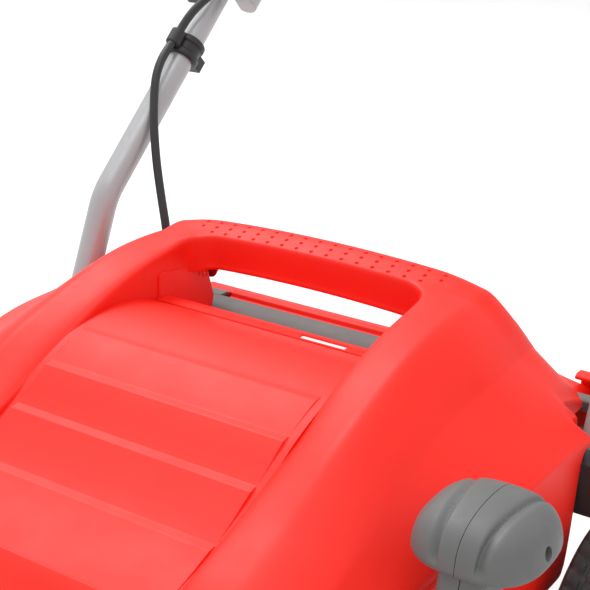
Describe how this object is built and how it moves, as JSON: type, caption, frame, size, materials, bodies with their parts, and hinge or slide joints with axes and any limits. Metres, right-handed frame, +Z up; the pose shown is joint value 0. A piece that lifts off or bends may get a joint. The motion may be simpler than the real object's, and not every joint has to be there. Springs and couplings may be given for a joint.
{
  "type": "electric reel mower",
  "caption": "Walk-behind electric reel mower: moulded hood with carry handle, helical reel and bed knife, four wheels, side height lever, rear flap and folding handle with switch box.",
  "frame": {"origin": "on the ground under the middle of the overall width and length", "axes": "+Z up, +Y to the rear towards the grip, +X to the operator's left"},
  "size_m": [0.608, 1.2701, 1.0476],
  "materials": {
    "red_moulding": "semi-gloss moulded red",
    "grey_moulding": "satin mid grey",
    "black_moulding": "satin black",
    "dark_wheel": "satin dark grey",
    "silver_tube": "silver paint",
    "chassis_steel": "black powder coat",
    "blade_steel": "ground steel",
    "bright_steel": "zinc plated",
    "motor_metal": "cast aluminium",
    "tyre_rubber": "matt tread",
    "belt_rubber": "toothed belt",
    "cable_rubber": "satin sheath",
    "grip_foam": "matt foam",
    "button_orange": "gloss red"
  },
  "bodies": {
    "chassis": {"side_plate_left": "chassis_steel", "side_plate_right": "chassis_steel", "front_tie_bar": "chassis_steel", "rear_beam": "chassis_steel", "chamber_guard": "chassis_steel", "reel_bearings": "bright_steel", "bed_knife": "blade_steel", "bed_knife_carrier": "chassis_steel", "motor_housing": "motor_metal", "motor_mount": "chassis_steel", "drive_belt": "belt_rubber", "belt_cover": "black_moulding", "hood": "red_moulding", "ribbed_cover": "red_moulding", "nose_panel": "red_moulding", "flap_rail": "grey_moulding", "lower_tube_left": "silver_tube", "lower_tube_right": "silver_tube", "tube_socket_left": "black_moulding", "tube_socket_right": "black_moulding", "deck_bolts": "bright_steel", "rear_axle": "bright_steel", "height_quadrant": "black_moulding", "fold_bolts": "black_moulding", "joint_spacers": "black_moulding", "cable_lower": "cable_rubber", "cable_clip": "black_moulding", "cable_grommet": "black_moulding"},
    "reel": {"reel_shaft": "bright_steel", "reel_blade_1": "blade_steel", "reel_blade_2": "blade_steel", "reel_blade_3": "blade_steel", "reel_blade_4": "blade_steel", "reel_blade_5": "blade_steel", "reel_spider_1": "chassis_steel", "reel_spider_2": "chassis_steel", "reel_spider_3": "chassis_steel", "reel_pulley": "motor_metal"},
    "motor_rotor": {"motor_shaft": "bright_steel"},
    "rear_wheel_left": {"rear_rim_left": "dark_wheel", "rear_tyre_left": "tyre_rubber"},
    "rear_wheel_right": {"rear_rim_right": "dark_wheel", "rear_tyre_right": "tyre_rubber"},
    "height_crank": {"cranked_shaft": "bright_steel", "swing_arm_left": "chassis_steel", "swing_arm_right": "chassis_steel", "lever_stem": "chassis_steel", "knob_inner": "grey_moulding", "knob_outer": "grey_moulding", "knob_screw": "bright_steel"},
    "front_wheel_left": {"front_wheel_left": "dark_wheel"},
    "front_wheel_right": {"front_wheel_right": "dark_wheel"},
    "flap": {"rear_flap": "red_moulding"},
    "handle": {"upper_handle": "silver_tube", "foam_grip": "grip_foam", "switch_box": "black_moulding", "cable_upper": "cable_rubber", "upper_clip": "black_moulding"},
    "bail": {"switch_lever": "black_moulding"},
    "button": {"safety_button": "button_orange"}
  },
  "joints": [
    {"name": "reel_spin", "type": "hinge", "parent": "chassis", "child": "reel", "pos_m": [0, -0.482, 0.09], "axis": [1, 0, 0], "continuous": true},
    {"name": "motor_spin", "type": "hinge", "parent": "chassis", "child": "motor_rotor", "pos_m": [0, -0.345, 0.212], "axis": [1, 0, 0], "continuous": true},
    {"name": "rear_left_spin", "type": "hinge", "parent": "chassis", "child": "rear_wheel_left", "pos_m": [0.281, -0.249, 0.093], "axis": [1, 0, 0], "continuous": true},
    {"name": "rear_right_spin", "type": "hinge", "parent": "chassis", "child": "rear_wheel_right", "pos_m": [-0.281, -0.249, 0.093], "axis": [1, 0, 0], "continuous": true},
    {"name": "height_adjust", "type": "hinge", "parent": "chassis", "child": "height_crank", "pos_m": [0, -0.459, 0.168], "axis": [1, 0, 0], "range_deg": [-7, 9]},
    {"name": "front_left_spin", "type": "hinge", "parent": "height_crank", "child": "front_wheel_left", "pos_m": [0.252, -0.562, 0.06], "axis": [1, 0, 0], "continuous": true},
    {"name": "front_right_spin", "type": "hinge", "parent": "height_crank", "child": "front_wheel_right", "pos_m": [-0.252, -0.562, 0.06], "axis": [1, 0, 0], "continuous": true},
    {"name": "flap_hinge", "type": "hinge", "parent": "chassis", "child": "flap", "pos_m": [0, -0.163, 0.233], "axis": [1, 0, 0], "range_deg": [0, 50], "stiffness_Nm_per_rad": 0.4, "springref_deg": -20.05},
    {"name": "handle_fold", "type": "hinge", "parent": "chassis", "child": "handle", "pos_m": [0, 0.01437, 0.47863], "axis": [1, 0, 0], "range_deg": [0, 150], "deforming": ["cable_lower", "cable_upper"]},
    {"name": "bail_pull", "type": "hinge", "parent": "handle", "child": "bail", "pos_m": [-0.06, 0.55998, 0.98793], "axis": [-1, 0, 0], "range_deg": [0, 30], "stiffness_Nm_per_rad": 0.8, "springref_deg": -34.38},
    {"name": "button_press", "type": "slide", "parent": "handle", "child": "button", "axis": [0, 0.6665, -0.7455], "range_m": [0, 0.004], "stiffness_N_per_m": 500, "springref_m": -0.002}
  ],
  "couplings": [
    {"joint": "motor_spin", "follows": "reel_spin", "ratio": 2.5}
  ]
}
